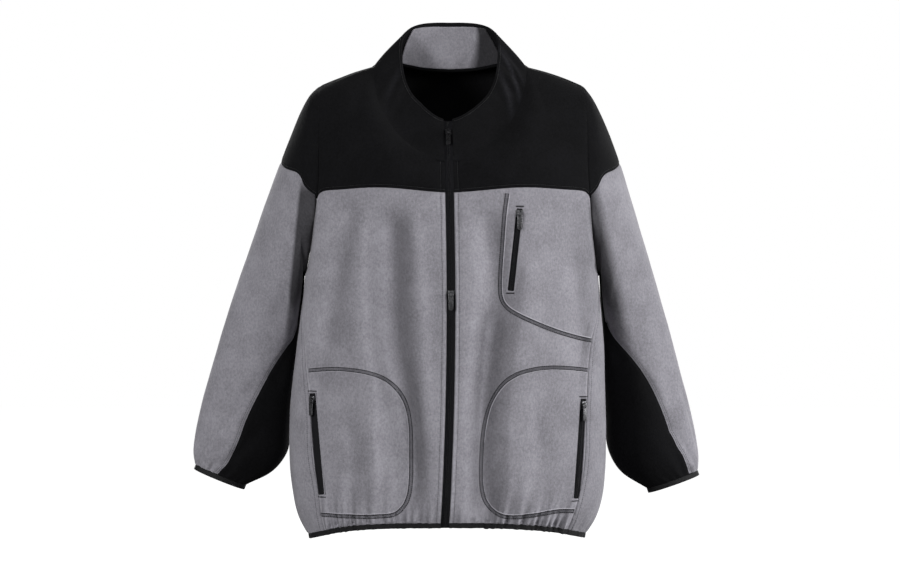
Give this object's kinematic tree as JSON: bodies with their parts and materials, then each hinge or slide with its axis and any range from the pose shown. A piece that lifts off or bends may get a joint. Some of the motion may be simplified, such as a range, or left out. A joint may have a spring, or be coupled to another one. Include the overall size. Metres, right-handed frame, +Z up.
{
  "type": "velvet fleece jacket",
  "caption": "Zip-up jacket in brushed velvet fleece, grey below a black yoke, with a stand collar, zipped side and chest pockets and elastic hem and cuffs, filled out as if worn.",
  "frame": {"origin": "Between the shoulders at the base of the neck, 700 mm above the lowest line of the hem: the place where the wearer's shoulders carry the jacket.", "axes": "+Z up, from hem to collar. -Y is the front, with the zip. +X is the wearer's left, the side with the chest pocket."},
  "size_m": [0.78, 0.2692, 0.7847],
  "materials": {
    "grey_fleece": "short brushed velvet nap, matt",
    "black_fleece": "short brushed velvet nap, matt",
    "elastic_binding": "folded elastic binding, faint sheen",
    "zip_tape": "woven zip tape with coil teeth",
    "gunmetal": "black-enamelled zinc slider and tab"
  },
  "bodies": {
    "jacket": {"pocket_right_tape": "zip_tape", "pocket_right_bag": "black_fleece", "pocket_right_slider": "gunmetal", "pocket_left_tape": "zip_tape", "pocket_left_bag": "black_fleece", "pocket_left_slider": "gunmetal", "chest_pocket_tape": "zip_tape", "chest_pocket_bag": "black_fleece", "chest_pocket_slider": "gunmetal", "front_right": "grey_fleece", "front_left": "grey_fleece", "back": "grey_fleece", "yoke_right": "black_fleece", "yoke_left": "black_fleece", "back_yoke": "black_fleece", "collar": "black_fleece", "hem_binding": "elastic_binding", "shoulder_cap_right": "black_fleece", "top_sleeve_right": "grey_fleece", "under_sleeve_right": "black_fleece", "shoulder_cap_left": "black_fleece", "top_sleeve_left": "grey_fleece", "under_sleeve_left": "black_fleece", "cuff_right": "elastic_binding", "cuff_left": "elastic_binding", "collar_facing": "grey_fleece", "front_zip_tape_right": "zip_tape", "front_zip_tape_left": "zip_tape", "front_slider": "gunmetal", "second_slider": "gunmetal"},
    "front_pull": {"front_pull": "gunmetal"},
    "second_pull": {"second_pull": "gunmetal"},
    "pocket_right_pull": {"pocket_right_pull": "gunmetal"},
    "pocket_left_pull": {"pocket_left_pull": "gunmetal"},
    "chest_pocket_pull": {"chest_pocket_pull": "gunmetal"}
  },
  "joints": [
    {"name": "front_pull_swing", "type": "hinge", "parent": "jacket", "child": "front_pull", "pos_m": [-0.00272, -0.07779, -0.09095], "axis": [-1, 0.001, 0], "range_deg": [0, 150]},
    {"name": "second_pull_swing", "type": "hinge", "parent": "jacket", "child": "second_pull", "pos_m": [0.00146, -0.12725, -0.334], "axis": [-1, 0, 0], "range_deg": [0, 150]},
    {"name": "pocket_right_pull_swing", "type": "hinge", "parent": "jacket", "child": "pocket_right_pull", "pos_m": [-0.20761, -0.07713, -0.49181], "axis": [-0.769, 0.6393, 0], "range_deg": [0, 150]},
    {"name": "pocket_left_pull_swing", "type": "hinge", "parent": "jacket", "child": "pocket_left_pull", "pos_m": [0.2015, -0.07832, -0.49969], "axis": [-0.7751, -0.6319, 0], "range_deg": [0, 150]},
    {"name": "chest_pocket_pull_swing", "type": "hinge", "parent": "jacket", "child": "chest_pocket_pull", "pos_m": [0.10303, -0.11434, -0.21452], "axis": [-0.9878, -0.1554, 0], "range_deg": [0, 150]}
  ]
}
